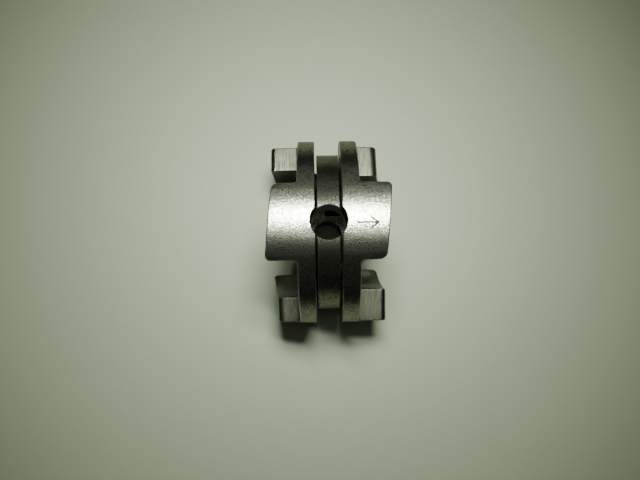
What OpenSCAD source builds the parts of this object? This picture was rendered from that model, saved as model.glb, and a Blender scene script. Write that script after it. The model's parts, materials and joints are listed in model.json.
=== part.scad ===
// Oldham coupling with dog-drive hubs, in millimetres.
// X is the coupling's axis, and Z points up through the cross hole and the top dogs.
// The origin is on the axis, midway between the two hubs.
// Each hub is drawn with its axis along Z, its flange's inner face towards the origin
// and its first dog towards X, and is then turned into its place.

/* [Hubs] */
// Outside diameter of each flange and of the dogs on it
hub_d = 34; // [32:0.5:38]
// Thickness of each flange at its rim
flange_t = 3.05; // [2.9:0.05:4]
// Distance between the inner faces of the two flanges
flange_gap = 4.6; // [4.5:0.05:4.9]
// Diameter of the bore that takes the spigot of a driving or driven shaft
bore_d = 14; // [11:0.5:14.5]
// Size of the chamfer on the edges of the flanges and bores
edge_chamfer = 0.2; // [0.1:0.05:0.3]

/* [Dogs] */
// Number of dogs on each hub
dog_count = 3; // [2:1:4]
// Angle that a dog spans round the axis, in degrees
dog_angle = 46.4; // [30:0.2:60]
// Diameter inside the left hub's dogs
left_dog_inner_d = 24.6; // [22:0.2:26]
// Diameter inside the right hub's dogs
right_dog_inner_d = 22; // [20:0.2:26]
// Height of a dog above its flange, at the middle of its ramped end
dog_h = 4.9; // [4:0.1:7]
// Slope of the ramped end, in degrees
ramp_angle = 5; // [0:0.5:7]
// Radius of the corner at the long side of the ramped end
long_corner_r = 0.9; // [0.3:0.1:2]
// Radius of the corner at the short side of the ramped end
short_corner_r = 1.4; // [0.3:0.1:3]

/* [Centre disc] */
// Diameter of the disc
disc_d = 28.8; // [28.4:0.2:29.6]
// Thickness of the disc at its rim
disc_t = 3.94; // [3.6:0.02:4.3]
// Diameter of the hole through the middle of the disc
disc_bore_d = 16; // [15.6:0.1:16.4]
// Outside diameter of the raised ring on each face, round that hole
ring_d = 22; // [21.8:0.1:22.6]
// Length of the disc from the end of one raised ring to the end of the other
ring_length = 8; // [7.8:0.1:8.1]

/* [Cross hole] */
// Diameter of the cross hole in the disc
cross_d = 6; // [4:0.2:6.4]
// How much wider the cross hole is where it nicks the flanges
cross_relief = 0.4; // [0:0.1:0.6]

/* [Tongues and slots] */
// Width of a hub's tongue
tongue_w = 4; // [3:0.2:4.4]
// How far a tongue reaches into the disc
tongue_depth = 2.2; // [1.6:0.1:2.4]
// Diameter that the round ends of a tongue reach
tongue_d = 25; // [24:0.2:25.4]
// Clearance on each flank of a tongue
flank_clearance = 0.04; // [0.02:0.01:0.1]
// Clearance past the end of a tongue
end_clearance = 0.2; // [0.1:0.05:0.3]
// How far the disc slides along a tongue, each way from the middle
travel = 0.5; // [0.2:0.1:0.6]

/* [Hidden] */

hub_r = hub_d / 2;
bore_r = bore_d / 2;
disc_r = disc_d / 2;
ring_r = ring_d / 2;

// The flange, as distances from the middle of the coupling
flange_in = flange_gap / 2;
flange_out = flange_in + flange_t;

// The recess in the flange clears the disc's raised ring over the whole travel
ring_side_clearance = 0.2;
ring_end_clearance = 0.15;
recess_r = ring_r + travel + ring_side_clearance;
recess_floor = ring_length / 2 + ring_end_clearance;

// A tongue starts just outside the bore and has a round end
tongue_set_back = 0.6;
tongue_start = bore_r + tongue_set_back;
tongue_end_r = tongue_w / 2;
tongue_end_at = tongue_d / 2 - tongue_end_r;
tongue_tip = disc_t / 2 - tongue_depth;

// A slot is the same shape with the clearances and the travel added, closed at the rim
slot_w = tongue_w + 2 * flank_clearance;
slot_end_at = tongue_end_at + travel + flank_clearance;
slot_floor = tongue_tip - end_clearance;

// The tongues lie halfway between the cross hole and the horizontal
tongue_angle = 45;

// A dog's outline is a little wider and deeper than the slice that it is cut from
outline_margin = 0.05;
overshoot = 0.5;
dog_half_w = hub_r * sin(dog_angle / 2) + outline_margin;
dog_mid_z = flange_out + dog_h;

// The dogs grow out of the middle of the web, clear of the recess behind it
dog_root_z = (recess_floor + flange_out) / 2;

cross_reach = hub_d + 4 * overshoot;
corner_steps = 6;
steel = "#8d8b86";
dark_steel = "#77756f";
$fn = 96;

// Height of the ramp at a place across the dog, from its long side at the left
function ramp_z(y) = dog_mid_z - y * tan(ramp_angle);

// Centre of a rounded corner of the ramped end; side is -1 for the long side
function corner_centre(side, r) =
    let (y = side * (dog_half_w - r))
    [y, ramp_z(y) - r / cos(ramp_angle)];

// Points along an arc round a centre, from one angle to another
function arc(centre, r, from, to) =
    [for (i = [0 : corner_steps])
        let (angle = from + (to - from) * i / corner_steps)
        centre + r * [cos(angle), sin(angle)]];

// Outline of a dog seen along a radius, with its ramped end and two rounded corners
module dog_outline() {
    long_c = corner_centre(-1, long_corner_r);
    short_c = corner_centre(1, short_corner_r);
    ramp_normal = 90 - ramp_angle;
    polygon(concat(
        [[-dog_half_w, dog_root_z - overshoot], [dog_half_w, dog_root_z - overshoot]],
        arc(short_c, short_corner_r, 0, ramp_normal),
        arc(long_c, long_corner_r, ramp_normal, 180)
    ));
}

// The slice of the ring of dogs that one dog fills, seen along the axis
module dog_sector(inner_r) {
    reach = 2 * hub_r;
    half = dog_angle / 2;
    intersection() {
        difference() {
            circle(hub_r);
            circle(inner_r);
        }
        polygon([
            [0, 0],
            [reach * cos(half), -reach * sin(half)],
            [reach * cos(half), reach * sin(half)]
        ]);
    }
}

// One dog, pointing along Z at the side towards X
module dog(inner_r) {
    intersection() {
        translate([0, 0, dog_root_z])
            linear_extrude(2 * dog_h + flange_t) dog_sector(inner_r);
        rotate([90, 0, 90]) linear_extrude(cross_reach) dog_outline();
    }
}

// Half of a section through the flange, with the recess for the disc's raised ring
module flange_section() {
    polygon([
        [bore_r, recess_floor],
        [bore_r, flange_out - edge_chamfer],
        [bore_r + edge_chamfer, flange_out],
        [hub_r - edge_chamfer, flange_out],
        [hub_r, flange_out - edge_chamfer],
        [hub_r, flange_in + edge_chamfer],
        [hub_r - edge_chamfer, flange_in],
        [recess_r, flange_in],
        [recess_r, recess_floor]
    ]);
}

// A bar on a radius with a round outer end, seen along the axis
module radial_bar(start, end_at, width) {
    translate([start, -width / 2]) square([end_at - start, width]);
    translate([end_at, 0]) circle(width / 2);
}

// The two halves of a hub's tongue, on either side of the bore
module tongue() {
    for (turn = [0, 180])
        rotate([0, 0, tongue_angle + turn])
            translate([0, 0, tongue_tip])
                linear_extrude(recess_floor + overshoot - tongue_tip)
                    radial_bar(tongue_start, tongue_end_at, tongue_w);
}

// A straight hole across the axis, right through
module cross_drill(d) {
    rotate([0, 90, 0]) cylinder(d = d, h = cross_reach, center = true);
}

// A hub with its axis along Z and its outer side up
module hub(dog_inner_r) {
    difference() {
        union() {
            rotate_extrude() flange_section();
            for (i = [0 : dog_count - 1])
                rotate([0, 0, i * 360 / dog_count]) dog(dog_inner_r);
            tongue();
        }
        cross_drill(cross_d + cross_relief);
    }
}

// Half of a section through the disc, with its raised ring on both faces
module disc_section() {
    half_t = disc_t / 2;
    half_ring = ring_length / 2;
    hole_r = disc_bore_d / 2;
    polygon([
        [hole_r, -half_ring],
        [ring_r - edge_chamfer, -half_ring],
        [ring_r, edge_chamfer - half_ring],
        [ring_r, -half_t],
        [disc_r - edge_chamfer, -half_t],
        [disc_r, edge_chamfer - half_t],
        [disc_r, half_t - edge_chamfer],
        [disc_r - edge_chamfer, half_t],
        [ring_r, half_t],
        [ring_r, half_ring - edge_chamfer],
        [ring_r - edge_chamfer, half_ring],
        [hole_r, half_ring]
    ]);
}

// The slot for one hub's tongue, open towards Z
module slot() {
    for (turn = [0, 180])
        rotate([0, 0, tongue_angle + turn])
            translate([0, 0, slot_floor])
                linear_extrude(ring_length)
                    radial_bar(bore_r, slot_end_at, slot_w);
}

// Turn something drawn along Z to face outwards at the left
module face_left() {
    rotate([0, -90, 0]) children();
}

// Turn something drawn along Z to face outwards at the right
module face_right() {
    rotate([0, 0, 180]) face_left() children();
}

// Driving hub
module left_hub() {
    color(steel) face_left() hub(left_dog_inner_d / 2);
}

// Floating disc, with a slot in each face at right angles to the other
module centre_disc() {
    color(dark_steel) difference() {
        face_right() rotate_extrude() disc_section();
        face_left() slot();
        face_right() slot();
        face_right() cross_drill(cross_d);
    }
}

// Driven hub, the same casting turned round
module right_hub() {
    color(steel) face_right() hub(right_dog_inner_d / 2);
}

left_hub();
centre_disc();
right_hub();
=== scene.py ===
"""Oldham coupling with dog-drive hubs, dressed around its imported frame.

Two flanged hubs with ramped dogs stand on their round rims, and a narrower disc floats
between them on crossed tongues. X is the coupling's axis, Z is up and Y is to the back.
Every piece is drawn in its own turning frame, with Z along the axis and the first dog
towards X, and its mesh is then turned into the coupling's frame.
"""

import json
import logging
import math
from dataclasses import dataclass
from enum import Enum, IntEnum

import bmesh
import bpy
from mathutils import Matrix, Vector


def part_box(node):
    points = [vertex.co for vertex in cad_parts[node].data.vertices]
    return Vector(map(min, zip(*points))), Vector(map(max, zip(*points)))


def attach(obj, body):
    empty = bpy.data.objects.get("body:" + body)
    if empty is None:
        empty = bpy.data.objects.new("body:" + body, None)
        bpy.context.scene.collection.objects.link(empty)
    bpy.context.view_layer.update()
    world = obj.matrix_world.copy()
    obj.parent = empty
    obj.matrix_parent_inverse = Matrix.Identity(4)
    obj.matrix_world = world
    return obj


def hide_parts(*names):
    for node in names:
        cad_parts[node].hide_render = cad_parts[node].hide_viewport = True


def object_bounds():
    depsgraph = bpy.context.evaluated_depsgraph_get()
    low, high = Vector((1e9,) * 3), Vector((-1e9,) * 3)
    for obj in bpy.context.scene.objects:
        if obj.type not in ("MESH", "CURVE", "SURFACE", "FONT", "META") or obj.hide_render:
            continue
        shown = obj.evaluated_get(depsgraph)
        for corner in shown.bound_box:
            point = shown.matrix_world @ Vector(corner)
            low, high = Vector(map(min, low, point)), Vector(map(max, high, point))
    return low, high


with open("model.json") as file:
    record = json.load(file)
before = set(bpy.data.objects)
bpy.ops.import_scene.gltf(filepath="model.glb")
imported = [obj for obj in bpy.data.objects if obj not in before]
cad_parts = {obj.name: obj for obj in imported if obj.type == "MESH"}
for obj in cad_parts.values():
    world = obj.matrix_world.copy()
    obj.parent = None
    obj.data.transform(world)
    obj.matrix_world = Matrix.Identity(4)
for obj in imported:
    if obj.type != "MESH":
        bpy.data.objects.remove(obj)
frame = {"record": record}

CAD_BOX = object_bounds()

MM = 0.001
FULL_TURN = 2 * math.pi
QUARTER = math.pi / 2

# points nearer to each other than this are one point
WELD_GAP = 0.0004 * MM
# edges bent more sharply than this stay sharp
CREASE = math.radians(26)
# the tongues lie halfway between the cross hole and the horizontal
TONGUE_ANGLE = math.radians(45)

log = logging.getLogger("oldham_coupling")


# ---------------------------------------------------------------- small helpers


def linear(hex_colour: str) -> tuple[float, float, float, float]:
    """Turns an sRGB hex colour into the linear colour that shaders take.

    Args:
        hex_colour: Six hex digits, with or without a leading hash.

    Returns:
        Linear red, green, blue and an alpha of 1.
    """
    digits = hex_colour.lstrip("#")
    channels = []
    for i in (0, 2, 4):
        value = int(digits[i:i + 2], 16) / 255
        channels.append(value / 12.92 if value <= 0.04045 else ((value + 0.055) / 1.055) ** 2.4)
    return (*channels, 1.0)


def add_node(tree: bpy.types.NodeTree, kind: str, inputs: dict | None = None, **settings) -> bpy.types.Node:
    """Adds a node to a tree, with its settings, input values and links.

    Args:
        tree: The tree that gets the node.
        kind: The node's type name.
        inputs: Input name or number to a value, or to the output socket to link.
        **settings: Properties of the node itself.

    Returns:
        The new node.
    """
    node = tree.nodes.new(kind)
    for name, value in settings.items():
        setattr(node, name, value)
    for key, value in (inputs or {}).items():
        if isinstance(value, bpy.types.NodeSocket):
            tree.links.new(value, node.inputs[key])
        else:
            node.inputs[key].default_value = value
    return node


def arc(
    centre: tuple[float, float], radius: float, start: float, end: float, steps: int
) -> list[tuple[float, float]]:
    """Gives points along an arc in a plane.

    Args:
        centre: The arc's centre.
        radius: Its radius in metres.
        start: Angle of the first point, in radians.
        end: Angle of the last point, in radians.
        steps: Number of stretches between the points.

    Returns:
        steps + 1 points, from start to end.
    """
    points = []
    for i in range(steps + 1):
        angle = start + (end - start) * i / steps
        points.append((centre[0] + radius * math.cos(angle), centre[1] + radius * math.sin(angle)))
    return points


def between(start: float, end: float, steps: int) -> list[float]:
    """Gives the evenly spaced values strictly between two numbers.

    Args:
        start: The value before the first one.
        end: The value after the last one.
        steps: Number of stretches from start to end.

    Returns:
        steps - 1 values.
    """
    return [start + (end - start) * i / steps for i in range(1, steps)]


def linked_object(name: str, mesh: bpy.types.Mesh) -> bpy.types.Object:
    """Puts a mesh in the scene as an object at the origin.

    Args:
        name: The object's name.
        mesh: Its mesh.

    Returns:
        The object.
    """
    obj = bpy.data.objects.new(name, mesh)
    bpy.context.scene.collection.objects.link(obj)
    return obj


def settle(obj: bpy.types.Object) -> None:
    """Turns what an object's modifiers make into its own plain mesh, and removes them.

    Args:
        obj: The object to settle.
    """
    depsgraph = bpy.context.evaluated_depsgraph_get()
    evaluated = obj.evaluated_get(depsgraph)
    plain = bpy.data.meshes.new_from_object(evaluated, preserve_all_data_layers=True, depsgraph=depsgraph)
    old = obj.data
    obj.modifiers.clear()
    obj.data = plain
    plain.name = obj.name
    bpy.data.meshes.remove(old)


# ---------------------------------------------------------------- finishes


class Surface(IntEnum):
    """What made each face of a piece, kept as a face attribute until it has its material."""

    BLASTED = 0
    TURNED = 1
    MILLED = 2
    EDGE = 3
    # walls that get painted shade: the dogs' inner walls and the disc's raised rings
    PAINTED_SHADE_WALL = 4


SURFACE_ATTRIBUTE = "surface"


@dataclass(frozen=True)
class Steel:
    """Mid-carbon steel, hardened and left bare.

    The base colours are the metal's own, except in the darker steels that stand for painted
    shade, and the grain, streaks or turning marks come from how the surface was made. The thin
    oxide on bare steel dims what it reflects at a grazing angle. A metal keeps the default IOR.
    """

    name: str
    dark: str
    light: str
    roughness_low: float
    roughness_high: float
    grain_mm: float
    bump: float
    bump_depth: float = 0.25
    grazing_tint: str = "#b4b4ae"

    def pattern(self, tree: bpy.types.NodeTree) -> bpy.types.NodeSocket:
        """Gives the place that the grain is read at, for this way of making the surface."""
        return add_node(tree, "ShaderNodeTexCoord").outputs["Object"]

    def build(self) -> bpy.types.Material:
        """Makes the material.

        Returns:
            A node material with colour, roughness and bump from one grain pattern.
        """
        material = bpy.data.materials.new(self.name)
        material.use_nodes = True
        tree = material.node_tree
        tree.nodes.clear()
        place = self.pattern(tree)
        per_metre = 1 / (self.grain_mm * MM)
        fine = add_node(tree, "ShaderNodeTexNoise", {
            "Vector": place, "Scale": per_metre, "Detail": 1.5, "Roughness": 0.5})
        patches = add_node(tree, "ShaderNodeTexNoise", {
            "Vector": place, "Scale": per_metre / 5, "Detail": 2.0, "Roughness": 0.5})
        both = add_node(tree, "ShaderNodeMix", {
            "Factor": 0.18, "A": fine.outputs["Fac"], "B": patches.outputs["Fac"]}, data_type="FLOAT")
        spread = add_node(tree, "ShaderNodeMapRange", {
            "Value": both.outputs["Result"], "From Min": 0.38, "From Max": 0.62})
        colour = add_node(tree, "ShaderNodeMix", data_type="RGBA")
        tree.links.new(spread.outputs["Result"], colour.inputs["Factor"])
        colour.inputs[6].default_value = linear(self.dark)
        colour.inputs[7].default_value = linear(self.light)
        roughness = add_node(tree, "ShaderNodeMapRange", {
            "Value": spread.outputs["Result"],
            "To Min": self.roughness_high, "To Max": self.roughness_low})
        bump = add_node(tree, "ShaderNodeBump", {
            "Strength": self.bump, "Distance": self.grain_mm * MM * self.bump_depth,
            "Height": fine.outputs["Fac"]})
        shader = add_node(tree, "ShaderNodeBsdfPrincipled", {
            "Base Color": colour.outputs[2], "Metallic": 1.0,
            "Specular Tint": linear(self.grazing_tint),
            "Roughness": roughness.outputs["Result"], "Normal": bump.outputs["Normal"]})
        add_node(tree, "ShaderNodeOutputMaterial", {"Surface": shader.outputs["BSDF"]})
        return material


class StreakedSteel(Steel):
    """Steel cut with a straight tool, whose fine marks run outwards from the axis."""

    def pattern(self, tree: bpy.types.NodeTree) -> bpy.types.NodeSocket:
        """Stretches the grain along Y and Z, so that it varies mainly along the axis."""
        place = add_node(tree, "ShaderNodeTexCoord").outputs["Object"]
        return add_node(tree, "ShaderNodeMapping", {
            "Vector": place, "Scale": (1.0, 0.06, 0.06)}).outputs["Vector"]


class TurnedSteel(Steel):
    """Steel faced on a lathe, whose marks are fine circles round the axis."""

    def pattern(self, tree: bpy.types.NodeTree) -> bpy.types.NodeSocket:
        """Reads the grain by distance from the axis, with a slow change round it."""
        place = add_node(tree, "ShaderNodeTexCoord").outputs["Object"]
        across = add_node(tree, "ShaderNodeSeparateXYZ", {"Vector": place})
        flat = add_node(tree, "ShaderNodeCombineXYZ", {
            "Y": across.outputs["Y"], "Z": across.outputs["Z"]})
        distance = add_node(tree, "ShaderNodeVectorMath", {0: flat.outputs["Vector"]}, operation="LENGTH")
        slow = add_node(tree, "ShaderNodeVectorMath", {0: place, "Scale": 0.04}, operation="SCALE")
        rings = add_node(tree, "ShaderNodeCombineXYZ", {"X": distance.outputs["Value"]})
        return add_node(tree, "ShaderNodeVectorMath", {
            0: slow.outputs["Vector"], 1: rings.outputs["Vector"]}).outputs["Vector"]


@dataclass(frozen=True)
class PaleTable:
    """A pale painted table top with a faint pebbled grain."""

    name: str = "painted_table"
    colour: str = "#a1a797"
    roughness: float = 0.55
    pebble_mm: float = 0.8

    def build(self) -> bpy.types.Material:
        """Makes the material.

        Returns:
            A matt paint with a shallow pebbled bump.
        """
        material = bpy.data.materials.new(self.name)
        material.use_nodes = True
        tree = material.node_tree
        tree.nodes.clear()
        place = add_node(tree, "ShaderNodeTexCoord").outputs["Object"]
        pebbles = add_node(tree, "ShaderNodeTexNoise", {
            "Vector": place, "Scale": 1 / (self.pebble_mm * MM), "Detail": 2.0})
        bump = add_node(tree, "ShaderNodeBump", {
            "Strength": 0.3, "Distance": 0.06 * MM, "Height": pebbles.outputs["Fac"]})
        shader = add_node(tree, "ShaderNodeBsdfPrincipled", {
            "Base Color": linear(self.colour), "Roughness": self.roughness,
            "Normal": bump.outputs["Normal"]})
        add_node(tree, "ShaderNodeOutputMaterial", {"Surface": shader.outputs["BSDF"]})
        return material


class Finishes:
    """The coupling's finishes, each made once."""

    def __init__(self) -> None:
        """Makes the coupling's steels, and the one in its engraved mark."""
        # peened with fine shot, so it is mottled and has a broken, satin gloss
        self.blasted = Steel("bead_blasted_steel", "#56554e", "#c6c5bb", 0.19, 0.29, 0.2, 0.6).build()
        # faced with a pointed tool, so its gloss is drawn into circles
        self.turned = TurnedSteel("turned_steel", "#8c8b84", "#b3b2aa", 0.26, 0.38, 0.16, 0.35).build()
        # rolled in a barrel with small stones, so it is a little darker and evenly dull
        self.tumbled = Steel("tumbled_steel", "#4f4e48", "#a6a59b", 0.21, 0.32, 0.2, 0.6).build()
        # cut across the dogs, so the flanks have straight marks
        self.milled = StreakedSteel("milled_steel", "#4b4a43", "#747369", 0.36, 0.47, 0.12, 0.2).build()
        # rubbed bright by handling, so the edges catch the light
        self.edge = Steel("burnished_steel_edge", "#a9a8a0", "#c9c8c0", 0.22, 0.32, 0.3, 0.2).build()
        # painted shade: bored steel made darker on the dogs' inner walls, which lie in the shadow of the
        # dogs above them
        self.bored = TurnedSteel(
            "painted_shade_bored_steel", "#403f3b", "#57564f", 0.26, 0.38, 0.2, 0.2, grazing_tint="#ffffff").build()
        # painted shade: a dark drilled steel on the cross hole's wall, which lies deep in the hole's shadow
        self.inside = Steel(
            "painted_shade_hole_steel", "#33322e", "#4a4943", 0.42, 0.56, 0.2, 0.2, grazing_tint="#ffffff").build()
        # painted shade: a near-black steel on the tongues, slots and raised rings, and where the cross hole
        # nicks the hubs; these lie in the shadow of the seams and the hole, and it hides their glints
        self.painted_shade = Steel("painted_shade_steel", "#191918", "#252523", 0.55, 0.68, 0.2, 0.15).build()
        # cut by the engraver's point and left rough, so it is dark with oxide
        self.mark = Steel("oxidised_steel_mark", "#2b2a28", "#45433f", 0.5, 0.65, 0.1, 0.3).build()

    def by_surface(self) -> dict[Surface, bpy.types.Material]:
        """Gives the material of each kind of surface."""
        return {
            Surface.BLASTED: self.blasted,
            Surface.TURNED: self.turned,
            Surface.MILLED: self.milled,
            Surface.EDGE: self.edge,
            Surface.PAINTED_SHADE_WALL: self.bored,
        }

    def on_disc(self) -> dict[Surface, bpy.types.Material]:
        """Gives the disc's materials: it was tumbled after turning, and its raised rings carry the
        near-black steel that paints in shade.
        """
        return {**self.by_surface(), Surface.TURNED: self.tumbled, Surface.PAINTED_SHADE_WALL: self.painted_shade}


# ---------------------------------------------------------------- geometry node trees


class RepeatTree:
    """Geometry nodes that turn copies of a piece round the Z axis and join them into one."""

    COUNT = "Count"
    STEP = "Step angle"
    WELD = "Weld distance"

    def __init__(self, materials: dict[Surface, bpy.types.Material]) -> None:
        """Builds the tree.

        Args:
            materials: The material of each kind of surface.
        """
        self.tree = bpy.data.node_groups.new("repeat_round_axis", "GeometryNodeTree")
        face = self.tree.interface
        face.new_socket("Geometry", in_out="INPUT", socket_type="NodeSocketGeometry")
        self.inputs = {
            self.COUNT: face.new_socket(self.COUNT, in_out="INPUT", socket_type="NodeSocketInt"),
            self.STEP: face.new_socket(self.STEP, in_out="INPUT", socket_type="NodeSocketFloat"),
            self.WELD: face.new_socket(self.WELD, in_out="INPUT", socket_type="NodeSocketFloat"),
        }
        face.new_socket("Geometry", in_out="OUTPUT", socket_type="NodeSocketGeometry")
        given = add_node(self.tree, "NodeGroupInput").outputs
        places = add_node(self.tree, "GeometryNodeMeshLine", {
            "Count": given[self.COUNT], "Offset": (0.0, 0.0, 0.0)})
        index = add_node(self.tree, "GeometryNodeInputIndex")
        angle = add_node(self.tree, "ShaderNodeMath", {
            0: index.outputs["Index"], 1: given[self.STEP]}, operation="MULTIPLY")
        euler = add_node(self.tree, "ShaderNodeCombineXYZ", {"Z": angle.outputs["Value"]})
        turn = add_node(self.tree, "FunctionNodeEulerToRotation", {"Euler": euler.outputs["Vector"]})
        copies = add_node(self.tree, "GeometryNodeInstanceOnPoints", {
            "Points": places.outputs["Mesh"], "Instance": given["Geometry"],
            "Rotation": turn.outputs["Rotation"]})
        real = add_node(self.tree, "GeometryNodeRealizeInstances", {"Geometry": copies.outputs["Instances"]})
        welded = add_node(self.tree, "GeometryNodeMergeByDistance", {
            "Geometry": real.outputs["Geometry"], "Distance": given[self.WELD]})
        dressed = dress_by_surface(self.tree, welded.outputs["Geometry"], materials)
        add_node(self.tree, "NodeGroupOutput", {"Geometry": dressed})

    def apply(self, obj: bpy.types.Object, count: int) -> None:
        """Repeats an object's mesh round the Z axis and settles it.

        Args:
            obj: The object whose mesh is one of the repeats.
            count: How many there are in a full turn.
        """
        modifier = obj.modifiers.new("repeat", "NODES")
        modifier.node_group = self.tree
        modifier[self.inputs[self.COUNT].identifier] = count
        modifier[self.inputs[self.STEP].identifier] = FULL_TURN / count
        modifier[self.inputs[self.WELD].identifier] = WELD_GAP
        settle(obj)


class LatheTree:
    """Geometry nodes that sweep a closed section round the Z axis."""

    RADIUS = "Path radius"
    STEPS = "Steps round the axis"

    def __init__(self, materials: dict[Surface, bpy.types.Material]) -> None:
        """Builds the tree.

        Args:
            materials: The material of each kind of surface.
        """
        self.tree = bpy.data.node_groups.new("lathe", "GeometryNodeTree")
        face = self.tree.interface
        face.new_socket("Geometry", in_out="INPUT", socket_type="NodeSocketGeometry")
        self.inputs = {
            self.RADIUS: face.new_socket(self.RADIUS, in_out="INPUT", socket_type="NodeSocketFloat"),
            self.STEPS: face.new_socket(self.STEPS, in_out="INPUT", socket_type="NodeSocketInt"),
        }
        face.new_socket("Geometry", in_out="OUTPUT", socket_type="NodeSocketGeometry")
        given = add_node(self.tree, "NodeGroupInput").outputs
        section = add_node(self.tree, "GeometryNodeMeshToCurve", {"Mesh": given["Geometry"]})
        path = add_node(self.tree, "GeometryNodeCurvePrimitiveCircle", {
            "Resolution": given[self.STEPS], "Radius": given[self.RADIUS]})
        swept = add_node(self.tree, "GeometryNodeCurveToMesh", {
            "Curve": path.outputs["Curve"], "Profile Curve": section.outputs["Curve"]})
        real = add_node(self.tree, "GeometryNodeRealizeInstances", {"Geometry": swept.outputs["Mesh"]})
        dressed = dress_by_surface(self.tree, real.outputs["Geometry"], materials)
        add_node(self.tree, "NodeGroupOutput", {"Geometry": dressed})

    def apply(self, obj: bpy.types.Object, radius: float, steps: int) -> None:
        """Sweeps an object's section, which lies radius away from the axis, and settles it.

        Args:
            obj: The object whose mesh is a closed loop of edges.
            radius: Distance from the axis to the section's own origin, in metres.
            steps: Number of stretches round the axis.
        """
        modifier = obj.modifiers.new("lathe", "NODES")
        modifier.node_group = self.tree
        modifier[self.inputs[self.RADIUS].identifier] = radius
        modifier[self.inputs[self.STEPS].identifier] = steps
        settle(obj)


def dress_by_surface(
    tree: bpy.types.NodeTree, geometry: bpy.types.NodeSocket, materials: dict[Surface, bpy.types.Material]
) -> bpy.types.NodeSocket:
    """Adds one Set Material node for each kind of surface at the end of a tree.

    Args:
        tree: The geometry node tree.
        geometry: The geometry to dress.
        materials: The material of each kind of surface.

    Returns:
        The dressed geometry.
    """
    kind = add_node(tree, "GeometryNodeInputNamedAttribute", {"Name": SURFACE_ATTRIBUTE}, data_type="INT")
    for surface, material in materials.items():
        same = add_node(tree, "FunctionNodeCompare", data_type="INT", operation="EQUAL")
        tree.links.new(kind.outputs["Attribute"], same.inputs[2])
        same.inputs[3].default_value = int(surface)
        geometry = add_node(tree, "GeometryNodeSetMaterial", {
            "Geometry": geometry, "Selection": same.outputs["Result"],
            "Material": material}).outputs["Geometry"]
    return geometry


# ---------------------------------------------------------------- meshes and cutters


def clean(mesh: bpy.types.Mesh, weld: float) -> None:
    """Merges a mesh's doubled points and turns its faces outwards.

    Args:
        mesh: The mesh.
        weld: Distance within which points become one, or 0 to keep them all.
    """
    work = bmesh.new()
    work.from_mesh(mesh)
    if weld:
        bmesh.ops.remove_doubles(work, verts=work.verts, dist=weld)
    bmesh.ops.recalc_face_normals(work, faces=work.faces)
    work.to_mesh(mesh)
    work.free()


def mesh_from(
    name: str, points: list[Vector], faces: list[tuple[int, ...]], surfaces: list[Surface] | None = None,
    weld: float = 0.0,
) -> bpy.types.Mesh:
    """Makes a mesh with its kinds of surface, merged points and outward normals.

    Args:
        name: The mesh's name.
        points: Its points, in metres.
        faces: Its faces, as point numbers.
        surfaces: The kind of surface of each face.
        weld: Distance within which points become one, or 0 to keep them all.

    Returns:
        The mesh.
    """
    mesh = bpy.data.meshes.new(name)
    mesh.from_pydata(points, [], faces)
    if surfaces is not None:
        attribute = mesh.attributes.new(SURFACE_ATTRIBUTE, "INT", "FACE")
        attribute.data.foreach_set("value", [int(s) for s in surfaces])
    clean(mesh, weld)
    return mesh


def prism(name: str, outline: list[tuple[float, float]], low: float, high: float) -> bpy.types.Mesh:
    """Makes a straight-sided solid from an outline in the XY plane.

    Args:
        name: The mesh's name.
        outline: The outline's points, in order round it.
        low: Height of its bottom.
        high: Height of its top.

    Returns:
        A closed mesh.
    """
    count = len(outline)
    points = [Vector((x, y, low)) for x, y in outline] + [Vector((x, y, high)) for x, y in outline]
    faces = [tuple(range(count)), tuple(range(count, 2 * count))]
    for i in range(count):
        after = (i + 1) % count
        faces.append((i, after, after + count, i + count))
    return mesh_from(name, points, faces)


def bar_outline(start: float, end_at: float, width: float) -> list[tuple[float, float]]:
    """Gives the outline of a bar on a radius, with a round outer end.

    Args:
        start: Distance from the axis to the bar's square end.
        end_at: Distance from the axis to the centre of its round end.
        width: The bar's width.

    Returns:
        The outline's points.
    """
    half = width / 2
    return [(start, -half), *arc((end_at, 0.0), half, -QUARTER, QUARTER, 16), (start, half)]


def drill_mesh(name: str, radius: float, body_radius: float, flare: float) -> bpy.types.Mesh:
    """Makes a drill that crosses a round body along X and breaks the edge of both its mouths.

    Args:
        name: The mesh's name.
        radius: The hole's radius.
        body_radius: Radius of the round body, whose axis is Z.
        flare: Size of the broken edge where the hole meets the body's outside.

    Returns:
        A closed mesh, whose first material is the broken edge's and whose second is the bore's.
    """
    steps = 120
    # the flare runs on past the mouth, by this many times its own depth
    above = 4.0
    rings: list[list[Vector]] = [[], [], [], []]
    for i in range(steps):
        angle = FULL_TURN * i / steps
        along, across = math.cos(angle), math.sin(angle)
        deep = math.sqrt(body_radius ** 2 - (radius * across) ** 2) - flare
        wide = radius + flare
        mouth = math.sqrt(body_radius ** 2 - (wide * across) ** 2)
        reach = above * (mouth - deep)
        far = wide + above * flare
        for ring, r, x in (
            (rings[0], far, mouth + reach),
            (rings[1], radius, deep),
            (rings[2], radius, -deep),
            (rings[3], far, -mouth - reach),
        ):
            ring.append(Vector((x, r * across, r * along)))
    points = [p for ring in rings for p in ring]
    faces = [tuple(range(steps)), tuple(range(3 * steps, 4 * steps))]
    for level in range(3):
        for i in range(steps):
            after = (i + 1) % steps
            first = level * steps
            faces.append((first + i, first + after, first + steps + after, first + steps + i))
    mesh = mesh_from(name, points, faces)
    bore = range(2 + steps, 2 + 2 * steps)
    mesh.polygons.foreach_set("material_index", [int(i in bore) for i in range(len(faces))])
    return mesh


def both_halves(half: bpy.types.Mesh, repeat: RepeatTree) -> bpy.types.Mesh:
    """Makes the two solids that face each other across the axis.

    Args:
        half: The mesh of one of them, drawn towards X. It is used up.
        repeat: The tree that turns copies round the axis.

    Returns:
        A mesh of both, turned to the tongues' angle.
    """
    half.transform(Matrix.Rotation(TONGUE_ANGLE, 4, "Z"))
    pair = linked_object(half.name, half)
    repeat.apply(pair, 2)
    mesh = pair.data.copy()
    bpy.data.objects.remove(pair)
    return mesh


class Carve(Enum):
    """What a tool solid does to a piece."""

    CUT = "DIFFERENCE"
    JOIN = "UNION"


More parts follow.
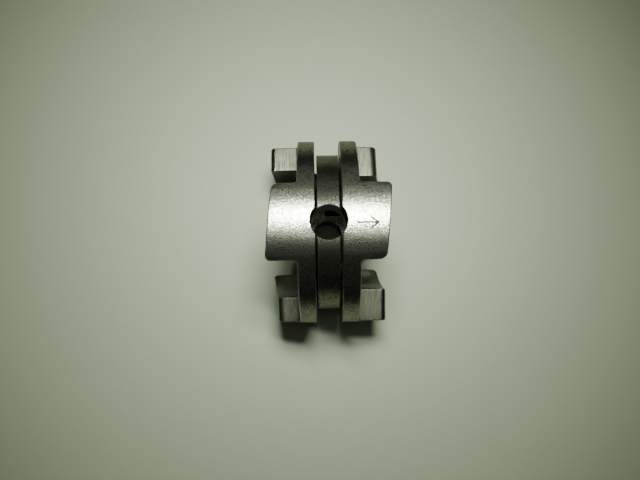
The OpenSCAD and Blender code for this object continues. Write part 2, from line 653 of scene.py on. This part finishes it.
def carve(piece: bpy.types.Object, tool: bpy.types.Mesh, how: Carve, *materials: bpy.types.Material) -> None:
    """Cuts a tool's shape out of a piece, or joins it on, and gives the new faces their materials.

    Args:
        piece: The piece, which keeps the result as its own mesh.
        tool: The tool's closed mesh, which is used up.
        how: Whether to cut or to join.
        *materials: Materials of the faces that the tool leaves, in the order of its own numbers.
    """
    numbers = [polygon.material_index for polygon in tool.polygons]
    tool.materials.clear()
    for material in materials:
        tool.materials.append(material)
    tool.polygons.foreach_set("material_index", [min(i, len(materials) - 1) for i in numbers])
    helper = linked_object("tool", tool)
    modifier = piece.modifiers.new("carve", "BOOLEAN")
    modifier.operation = how.value
    modifier.solver = "EXACT"
    modifier.material_mode = "TRANSFER"
    modifier.object = helper
    settle(piece)
    bpy.data.objects.remove(helper)
    bpy.data.meshes.remove(tool)


def shade(piece: bpy.types.Object) -> None:
    """Shades a piece smooth between its creases, led by its large faces.

    Args:
        piece: The piece.
    """
    piece.data.shade_smooth()
    piece.data.set_sharp_from_angle(angle=CREASE)
    modifier = piece.modifiers.new("weigh", "WEIGHTED_NORMAL")
    modifier.keep_sharp = True
    settle(piece)


# ---------------------------------------------------------------- the coupling


class Side(Enum):
    """Which end of the coupling a hub is on, with the turn that faces it outwards."""

    LEFT = Matrix(((0, 0, -1, 0), (0, 1, 0, 0), (1, 0, 0, 0), (0, 0, 0, 1)))
    RIGHT = Matrix(((0, 0, 1, 0), (0, -1, 0, 0), (1, 0, 0, 0), (0, 0, 0, 1)))


def mount(name: str) -> dict:
    """Gives one of the record's mounts by its name."""
    return next(m for m in frame["record"]["mounts"] if m["name"] == name)


@dataclass
class Outline:
    """A hub's outer edge unrolled round its rim: distance round the rim, and height along the axis."""

    points: list[tuple[float, float]]
    kinds: list[Surface]

    def normals(self) -> list[tuple[float, float]]:
        """Gives each point's outward direction, as long as an even inset of both its sides needs."""
        sides = []
        for (x0, y0), (x1, y1) in zip(self.points, self.points[1:]):
            length = math.hypot(x1 - x0, y1 - y0)
            sides.append(((y0 - y1) / length, (x1 - x0) / length))
        result = []
        for before, after in zip([sides[0], *sides], [*sides, sides[-1]]):
            x, y = before[0] + after[0], before[1] + after[1]
            scale = 2 / (x * x + y * y)
            result.append((x * scale, y * scale))
        return result


@dataclass
class DogHub:
    """A flanged hub with dogs on its outer side and a tongue on its inner side. Lengths are in metres."""

    side: Side
    node: str
    dog_inner_r: float
    dogs: int = 3
    dog_angle: float = math.radians(46.4)
    ramp: float = math.radians(5)
    flange_in: float = 2.3 * MM
    recess_floor: float = 4.15 * MM
    recess_r: float = 11.7 * MM
    long_corner: float = 0.9 * MM
    short_corner: float = 1.4 * MM
    flank_draft: float = 0.06 * MM
    root_fillet: float = 0.55 * MM
    edge: float = 0.22 * MM
    inner_edge: float = 0.16 * MM
    face_edge: float = 0.15 * MM
    tongue_root: float = 0.5 * MM
    tongue_w: float = 4.0 * MM
    tongue_start: float = 7.6 * MM
    tongue_end_at: float = 10.5 * MM
    nick_flare: float = 0.08 * MM
    cross_relief: float = 0.2 * MM
    draw_in: float = 0.012 * MM
    marked: bool = False

    def __post_init__(self) -> None:
        """Reads the sizes that the frame and its mounts give, and stays a hair inside its box."""
        low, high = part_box(self.node)
        self.rim_r = high.z - self.draw_in
        self.tip = max(abs(low.x), abs(high.x)) - self.draw_in
        self.tongue_tip = -min(abs(low.x), abs(high.x))
        end = self.node.removesuffix("_hub")
        self.flange_out = abs(mount(f"{end}_flange_face")["pos_m"][0])
        self.bore_r = mount(f"{end}_bore")["dims"]["r_mm"] * MM
        self.cross_r = mount("cross_hole")["dims"]["r_mm"] * MM + self.cross_relief

    def outline(self) -> Outline:
        """Draws one dog and half the gap on each side of it, unrolled round the rim.

        Returns:
            The outline, from the long side's gap to the short side's gap.
        """
        half = self.rim_r * self.dog_angle / 2
        end = self.rim_r * math.pi / self.dogs
        foot = self.root_fillet
        shoulder = half - self.flank_draft
        chord = self.rim_r * math.sin(self.dog_angle / 2)
        middle = (self.tip - (chord - self.long_corner) * math.tan(self.ramp)
                  + self.long_corner / math.cos(self.ramp) - self.long_corner)

        def corner(sign: float, radius: float) -> tuple[float, float]:
            """Centre of a rounded corner; sign is -1 on the long side."""
            x = sign * (shoulder - radius)
            return x, middle - x * math.tan(self.ramp) - radius / math.cos(self.ramp)

        upright = QUARTER - self.ramp
        long_c, short_c = corner(-1, self.long_corner), corner(1, self.short_corner)
        long_arc = arc(long_c, self.long_corner, math.pi, upright, 7)
        short_arc = arc(short_c, self.short_corner, upright, 0.0, 9)
        points: list[tuple[float, float]] = []
        kinds: list[Surface] = []

        def extend(more: list[tuple[float, float]], kind: Surface) -> None:
            """Adds points, and the kind of surface of each stretch that leads to them."""
            kinds.extend([kind] * (len(more) - (0 if points else 1)))
            points.extend(more)

        floor = self.flange_out
        extend([(x, floor) for x in (-end, *between(-end, -half - foot, 11))], Surface.TURNED)
        extend([(-half - foot, floor)], Surface.TURNED)
        extend(arc((-half - foot, floor + foot), foot, -QUARTER, 0.0, 6)[1:], Surface.MILLED)
        low, high = floor + foot, long_arc[0][1]
        for height in between(low, high, 4):
            extend([(-half + self.flank_draft * (height - low) / (high - low), height)], Surface.MILLED)
        extend(long_arc[:1], Surface.MILLED)
        extend(long_arc[1:], Surface.BLASTED)
        (x0, y0), (x1, y1) = long_arc[-1], short_arc[0]
        ramp = [(x0 + (x1 - x0) * t, y0 + (y1 - y0) * t) for t in between(0.0, 1.0, 10)]
        extend(ramp, Surface.BLASTED)
        extend(short_arc[:5], Surface.BLASTED)
        extend(short_arc[5:], Surface.MILLED)
        high = short_arc[-1][1]
        for height in between(high, low, 4):
            extend([(half - self.flank_draft * (height - low) / (high - low), height)], Surface.MILLED)
        extend([(half, low)], Surface.MILLED)
        extend(arc((half + foot, floor + foot), foot, math.pi, 3 * QUARTER, 6)[1:], Surface.MILLED)
        extend([(x, floor) for x in (*between(half + foot, end, 11), end)], Surface.TURNED)
        return Outline(points, kinds)

    def column(
        self, place: tuple[float, float], normal: tuple[float, float]
    ) -> list[tuple[float, float, float]]:
        """Draws the closed section through the hub at one point of its outline.

        Args:
            place: The outline's point.
            normal: Its outward direction.

        Returns:
            Distance round the rim, radius and height of each point, from the inner rim round
            the outside and the bore back to the inner face.
        """
        s, z = place
        height = z - self.flange_out
        edge, soft = self.edge, self.face_edge
        inner_edge = min(self.inner_edge, 0.4 * height)
        foot = min(self.root_fillet, 0.4 * height)
        weight = min(1.0, height / self.root_fillet)
        points = []
        for x, y in arc((self.rim_r - soft, self.flange_in + soft), soft, -QUARTER, 0.0, 3):
            points.append((s, x, y))
        top = z - edge * normal[1]
        for y in between(self.flange_in + soft, top, 3):
            points.append((s - edge * normal[0], self.rim_r, y))
        for turn in (QUARTER * i / 4 for i in range(5)):
            inset = edge * (1 - math.sin(turn))
            r = self.rim_r - edge + edge * math.cos(turn)
            points.append((s - inset * normal[0], r, z - inset * normal[1]))
        for r in between(self.rim_r - edge, self.dog_inner_r + inner_edge, 3):
            points.append((s, r, z))
        for turn in (QUARTER * i / 4 for i in range(5)):
            inset = inner_edge * (1 - math.cos(turn)) * weight
            r = self.dog_inner_r + inner_edge * (1 - math.sin(turn))
            points.append((s - inset * normal[0], r, z - inset * normal[1]))
        wall_s = s - inner_edge * weight * normal[0]
        wall_z = z - inner_edge * weight * normal[1]
        for y in between(wall_z, self.flange_out + foot, 4):
            points.append((wall_s, self.dog_inner_r, y))
        for x, y in arc((self.dog_inner_r - foot, self.flange_out + foot), foot, 0.0, -QUARTER, 4):
            points.append((wall_s, x, y))
        for r in between(self.dog_inner_r - foot, self.bore_r + soft, 3):
            points.append((s, r, self.flange_out))
        for x, y in arc((self.bore_r + soft, self.flange_out - soft), soft, QUARTER, math.pi, 3):
            points.append((s, x, y))
        for x, y in arc((self.bore_r + soft, self.recess_floor + soft), soft, math.pi, 3 * QUARTER, 3):
            points.append((s, x, y))
        points.append((s, self.recess_r, self.recess_floor))
        for x, y in arc((self.recess_r + soft, self.flange_in + soft), soft, math.pi, 3 * QUARTER, 3):
            points.append((s, x, y))
        return points

    def column_kinds(self) -> list[Surface | None]:
        """Gives the kind of surface after each point of a column, or None where the outline sets it."""
        rim, edge, end = [Surface.BLASTED], [Surface.EDGE], [None]
        # the dogs' inner walls get painted shade
        wall, turned = [Surface.PAINTED_SHADE_WALL], [Surface.TURNED]
        return (
            rim * 6 + edge * 4 + end * 7 + wall * 4 + turned * 7
            + edge * 3 + turned + edge * 3 + turned * 6
        )

    def sector_mesh(self) -> bpy.types.Mesh:
        """Builds the third of the hub that holds one dog, open where its neighbours join it."""
        outline = self.outline()
        columns = [self.column(p, n) for p, n in zip(outline.points, outline.normals())]
        kinds = self.column_kinds()
        size = len(columns[0])
        points = []
        for column in columns:
            for s, r, z in column:
                angle = s / self.rim_r
                points.append(Vector((r * math.cos(angle), r * math.sin(angle), z)))
        faces, surfaces = [], []
        for i, along in enumerate(outline.kinds):
            for j in range(size):
                after = (j + 1) % size
                first, second = i * size, (i + 1) * size
                faces.append((first + j, second + j, second + after, first + after))
                surfaces.append(along if kinds[j] is None else kinds[j])
        return mesh_from(self.node, points, faces, surfaces, weld=WELD_GAP)

    def tongue_mesh(self) -> bpy.types.Mesh:
        """Builds one half of the hub's tongue, which runs a little way into the web at its root."""
        outline = bar_outline(self.tongue_start, self.tongue_end_at, self.tongue_w)
        return prism("tongue", outline, self.tongue_tip, self.recess_floor + self.tongue_root)

    def arrow_strokes(self) -> list[bpy.types.Mesh]:
        """Builds the three strokes of the arrow that shows which way the hub faces.

        Returns:
            A thin wedge-bottomed solid for each stroke, let into the first dog's outside.
        """
        tip = Vector((0.5 * MM, 8.2 * MM))
        tail = Vector((0.5 * MM, 4.7 * MM))
        barbs = (Vector((-0.45 * MM, 7.0 * MM)), Vector((1.45 * MM, 7.0 * MM)))
        width, depth, proud = 0.38 * MM, 0.2 * MM, 0.1 * MM
        past_tip, bottom_share, top_share = 0.4 * width, 0.45, 1.1
        meshes = []
        for start in (tail, *barbs):
            along = (tip - start).normalized()
            side = Vector((-along.y, along.x)) * width / 2
            end = tip + along * past_tip
            points = []
            for x, share in ((self.rim_r - depth, bottom_share), (self.rim_r + proud, top_share)):
                across = side * share
                for corner in (start - across, end - across, end + across, start + across):
                    points.append(Vector((x, corner.x, corner.y)))
            faces = [(0, 1, 2, 3), (4, 5, 6, 7)]
            faces += [(i, (i + 1) % 4, (i + 1) % 4 + 4, i + 4) for i in range(4)]
            meshes.append(mesh_from("stroke", points, faces))
        return meshes

    def build(self, repeat: RepeatTree, finishes: Finishes) -> bpy.types.Object:
        """Makes the hub, with its tongue, the nicks of the cross hole and its mark.

        Args:
            repeat: The tree that turns copies round the axis.
            finishes: The coupling's finishes.

        Returns:
            The finished hub, in the coupling's frame.
        """
        hub = linked_object(f"{self.node}_steel", self.sector_mesh())
        repeat.apply(hub, self.dogs)
        # the tongue and the cross hole's nicks get the near-black steel that paints in shade
        carve(hub, both_halves(self.tongue_mesh(), repeat), Carve.JOIN, finishes.painted_shade)
        nick = drill_mesh("nick", self.cross_r, self.rim_r, self.nick_flare)
        carve(hub, nick, Carve.CUT, finishes.painted_shade)
        if self.marked:
            for stroke in self.arrow_strokes():
                carve(hub, stroke, Carve.CUT, finishes.mark)
        shade(hub)
        hub.data.transform(self.side.value)
        return hub


@dataclass
class FloatingDisc:
    """The disc that floats between the hubs, with a slot in each face. Lengths are in metres."""

    node: str = "centre_disc"
    thickness: float = 3.94 * MM
    bore_r: float = 8.0 * MM
    ring_r: float = 11.0 * MM
    edge: float = 0.16 * MM
    slot_w: float = 4.08 * MM
    slot_start: float = 7.0 * MM
    slot_end_at: float = 11.04 * MM
    slot_floor: float = -0.43 * MM
    flare: float = 0.12 * MM
    path_r: float = 11.0 * MM
    steps: int = 180

    def __post_init__(self) -> None:
        """Reads the sizes that the frame and its mounts give."""
        low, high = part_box(self.node)
        self.rim_r = high.y
        self.half_ring = high.x
        self.cross_r = mount("cross_hole")["dims"]["r_mm"] * MM

    def section(self) -> tuple[list[tuple[float, float]], list[Surface]]:
        """Draws the disc's section, with a soft edge at each outer corner.

        Returns:
            Radius and height of each point, and the kind of surface at it.
        """
        half, ring, soft = self.thickness / 2, self.half_ring, self.edge
        points: list[tuple[float, float]] = []
        kinds: list[Surface] = []

        def corner(r: float, z: float, start: float) -> None:
            """Adds a quarter round that starts at an angle and turns on from there."""
            middle = start + QUARTER / 2
            centre_r = r - math.copysign(soft, math.cos(middle))
            centre_z = z - math.copysign(soft, math.sin(middle))
            points.extend(arc((centre_r, centre_z), soft, start, start + QUARTER, 4))
            kinds.extend([Surface.EDGE] * 5)

        def plain(r: float, z: float, kind: Surface = Surface.TURNED) -> None:
            """Adds a plain point."""
            points.append((r, z))
            kinds.append(kind)

        # points close beside a change of finish keep the faces that mix two of them very narrow
        sliver = 0.01 * MM
        beside = soft + sliver
        corner(self.bore_r, -ring, math.pi)
        corner(self.ring_r, -ring, -QUARTER)
        # the raised ring's side walls get painted shade
        plain(self.ring_r, beside - ring, Surface.PAINTED_SHADE_WALL)
        plain(self.ring_r, -half, Surface.PAINTED_SHADE_WALL)
        plain(self.ring_r + sliver, -half)
        plain(self.rim_r - beside, -half)
        corner(self.rim_r, -half, -QUARTER)
        plain(self.rim_r, beside - half)
        for z in between(beside - half, half - beside, 3):
            plain(self.rim_r, z)
        plain(self.rim_r, half - beside)
        corner(self.rim_r, half, 0.0)
        plain(self.rim_r - beside, half)
        plain(self.ring_r + sliver, half)
        plain(self.ring_r, half, Surface.PAINTED_SHADE_WALL)
        plain(self.ring_r, ring - beside, Surface.PAINTED_SHADE_WALL)
        corner(self.ring_r, ring, 0.0)
        corner(self.bore_r, ring, QUARTER)
        return points, kinds

    def section_mesh(self) -> bpy.types.Mesh:
        """Builds the section as a closed loop of edges, measured from the lathe's path."""
        points, kinds = self.section()
        mesh = bpy.data.meshes.new(self.node)
        edges = [(i, (i + 1) % len(points)) for i in range(len(points))]
        mesh.from_pydata([Vector((r - self.path_r, z, 0.0)) for r, z in points], edges, [])
        attribute = mesh.attributes.new(SURFACE_ATTRIBUTE, "INT", "POINT")
        attribute.data.foreach_set("value", [int(k) for k in kinds])
        return mesh

    def slot_mesh(self) -> bpy.types.Mesh:
        """Builds the tool that cuts half of one slot, open upwards."""
        outline = bar_outline(self.slot_start, self.slot_end_at, self.slot_w)
        return prism("slot", outline, self.slot_floor, 2 * self.half_ring)

    def build(self, lathe: LatheTree, repeat: RepeatTree, finishes: Finishes) -> bpy.types.Object:
        """Makes the disc, with its crossed slots and the cross hole.

        Args:
            lathe: The tree that sweeps the section.
            repeat: The tree that turns copies round the axis.
            finishes: The coupling's finishes.

        Returns:
            The finished disc, in the coupling's frame.
        """
        disc = linked_object(f"{self.node}_steel", self.section_mesh())
        lathe.apply(disc, self.path_r, self.steps)
        clean(disc.data, WELD_GAP)
        disc.data.transform(Side.RIGHT.value)
        for side in Side:
            # each pair of slots gets the near-black steel that paints in shade
            slots = both_halves(self.slot_mesh(), repeat)
            slots.transform(side.value)
            carve(disc, slots, Carve.CUT, finishes.painted_shade)
        # the cross hole's wall gets the dark steel that paints in its shade
        drill = drill_mesh("cross_hole", self.cross_r, self.rim_r, self.flare)
        drill.transform(Side.RIGHT.value)
        carve(disc, drill, Carve.CUT, finishes.edge, finishes.inside)
        shade(disc)
        return disc


# ---------------------------------------------------------------- the studio


@dataclass(frozen=True)
class Panel:
    """A flat soft light, with its angles in degrees, its lengths in metres and its power in watts."""

    name: str
    back_tilt: float
    right_tilt: float
    distance: float
    width: float
    depth: float
    power: float
    spread: float = 180
    colour: str = "#f4ffe8"

    def build(self, centre: Vector, faced: Vector) -> bpy.types.Object:
        """Makes the light.

        Args:
            centre: The middle of the coupling, which the tilts and the distance are taken from.
            faced: The point that it faces.

        Returns:
            The light's object.
        """
        data = bpy.data.lights.new(self.name, "AREA")
        data.shape = "RECTANGLE"
        data.size, data.size_y = self.width, self.depth
        data.energy = self.power
        data.spread = math.radians(self.spread)
        data.color = linear(self.colour)[:3]
        light = bpy.data.objects.new(self.name, data)
        back, right = math.radians(self.back_tilt), math.radians(self.right_tilt)
        away = Vector((math.tan(right), math.tan(back), 1.0)).normalized()
        light.location = centre + away * self.distance
        light.rotation_mode = "QUATERNION"
        light.rotation_quaternion = (light.location - faced).to_track_quat("Z", "Y")
        bpy.context.scene.collection.objects.link(light)
        return light


@dataclass
class Studio:
    """The pale table, the lights and the camera. The lights face a point a little behind the middle."""

    table_size: float = 1.2
    camera_distance: float = 133 * MM
    camera_elevation: float = math.radians(83.2)
    camera_lens_mm: float = 39.5
    camera_side: float = math.radians(0.8)
    camera_roll: float = math.radians(-0.95)
    aim_right: float = math.radians(0.64)
    aim_up: float = math.radians(0.65)
    pool_left: float = 4 * MM
    pool_back: float = 8 * MM
    room_colour: str = "#d8dcd0"
    room_strength: float = 0.013

    def build(self) -> None:
        """Makes the table, the room's dim light, the soft lights and the camera."""
        low, high = CAD_BOX
        centre = (low + high) / 2
        self.make_table(low.z)
        self.light_room()
        self.light_coupling(centre)
        self.make_camera(centre)

    def make_table(self, top: float) -> None:
        """Makes the table.

        Args:
            top: Height of its top, which the coupling stands on.
        """
        half = self.table_size / 2
        corners = ((-half, -half), (half, -half), (half, half), (-half, half))
        mesh = bpy.data.meshes.new("table")
        mesh.from_pydata([Vector((x, y, top)) for x, y in corners], [], [(0, 1, 2, 3)])
        mesh.materials.append(PaleTable().build())
        linked_object("table", mesh)

    def light_room(self) -> None:
        """Fills the room with a dim, even light."""
        world = bpy.data.worlds.new("dim_room")
        world.use_nodes = True
        background = world.node_tree.nodes["Background"]
        background.inputs["Color"].default_value = linear(self.room_colour)
        background.inputs["Strength"].default_value = self.room_strength
        bpy.context.scene.world = world

    def light_coupling(self, centre: Vector) -> None:
        """Hangs the soft lights over the coupling.

        Args:
            centre: The middle of the coupling.
        """
        pool = centre + Vector((-self.pool_left, self.pool_back, 0.0))
        for panel in (
            Panel("near_lamp", 9.8, 1.5, 0.15, 0.045, 0.009, 0.040, 72),
            Panel("back_softbox", 16, 2.5, 0.15, 0.055, 0.012, 0.040, 72),
            Panel("overhead_glow", 1, 0, 0.4, 0.08, 0.08, 0.055),
            Panel("pale_back_wall", 62, 0, 1.0, 1.2, 0.7, 0.34),
            Panel("dim_front_wall", -62, 0, 1.0, 1.2, 0.7, 0.04),
        ):
            panel.build(centre, pool)

    def make_camera(self, centre: Vector) -> None:
        """Puts the camera nearly straight above the coupling, a little towards the front and the left.

        Args:
            centre: The middle of the coupling.
        """
        data = bpy.data.cameras.new("camera")
        data.lens = self.camera_lens_mm
        data.clip_start = 0.01
        camera = bpy.data.objects.new("camera", data)
        bpy.context.scene.collection.objects.link(camera)
        bpy.context.scene.camera = camera
        back = Vector((
            -math.tan(self.camera_side), -math.cos(self.camera_elevation), math.sin(self.camera_elevation)))
        back.normalize()
        camera.location = centre + back * self.camera_distance
        camera.rotation_mode = "QUATERNION"
        right = (Vector((1.0, 0.0, 0.0)) - back * back.x).normalized()
        aim = Matrix((right, back.cross(right), back)).transposed()
        turn = Matrix.Rotation(self.camera_roll, 3, "Z")
        tilt = Matrix.Rotation(-self.aim_up, 3, "X") @ Matrix.Rotation(self.aim_right, 3, "Y")
        camera.rotation_quaternion = (aim @ tilt @ turn).to_quaternion()


def place(piece: bpy.types.Object, node: str, slot: str) -> None:
    """Puts a finished piece on its body, in place of its plain solid.

    Args:
        piece: The finished piece.
        node: The plain solid's name, which is also its body's.
        slot: The record's material slot; it is not used.
    """
    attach(piece, node)
    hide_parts(node)
    log.info("%s: %d faces", piece.name, len(piece.data.polygons))


def main() -> None:
    """Builds the studio and the three pieces, and reports each of them."""
    logging.basicConfig(level=logging.INFO, format="%(name)s: %(message)s")
    Studio().build()
    finishes = Finishes()
    repeat = RepeatTree(finishes.by_surface())
    lathe = LatheTree(finishes.on_disc())
    left = DogHub(Side.LEFT, "left_hub", 12.3 * MM)
    right = DogHub(Side.RIGHT, "right_hub", 11.0 * MM, marked=True)
    place(left.build(repeat, finishes), left.node, "hub_steel")
    disc = FloatingDisc()
    place(disc.build(lathe, repeat, finishes), disc.node, "disc_steel")
    place(right.build(repeat, finishes), right.node, "hub_steel")


if __name__ == "__main__":
    main()
